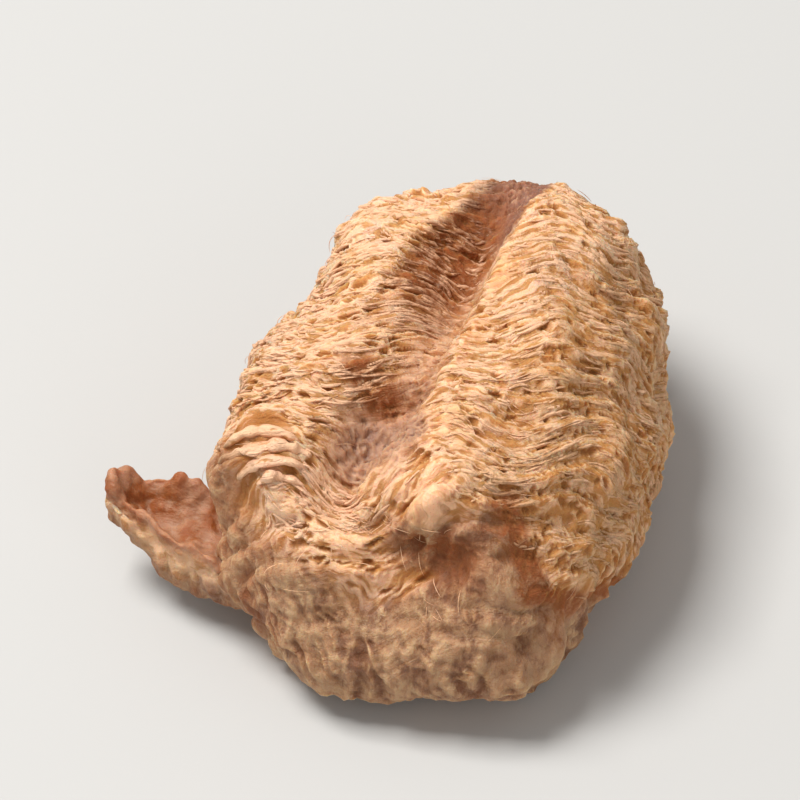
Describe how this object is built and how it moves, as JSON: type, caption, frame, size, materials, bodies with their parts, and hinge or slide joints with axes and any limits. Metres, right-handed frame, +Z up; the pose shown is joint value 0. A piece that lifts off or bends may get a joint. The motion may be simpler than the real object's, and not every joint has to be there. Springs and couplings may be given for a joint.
{
  "type": "mantis egg case",
  "caption": "Dried egg case of a mantis: a lump of leafy foam with lobes beside a lengthwise furrow, a leafy roll and a torn wing at a corner, and a flat underside with a twig's channel.",
  "frame": {"origin": "middle of the bounding box on the plane the case rests on", "axes": "+Y along the case, from the near end with the lip, roll and wing to its far end; +X to its right side; +Z up, out of the furrowed top"},
  "size_m": [0.0328, 0.0364, 0.0204],
  "materials": {
    "foam": "matte"
  },
  "bodies": {
    "root": {"egg_case": "foam"}
  },
  "joints": []
}
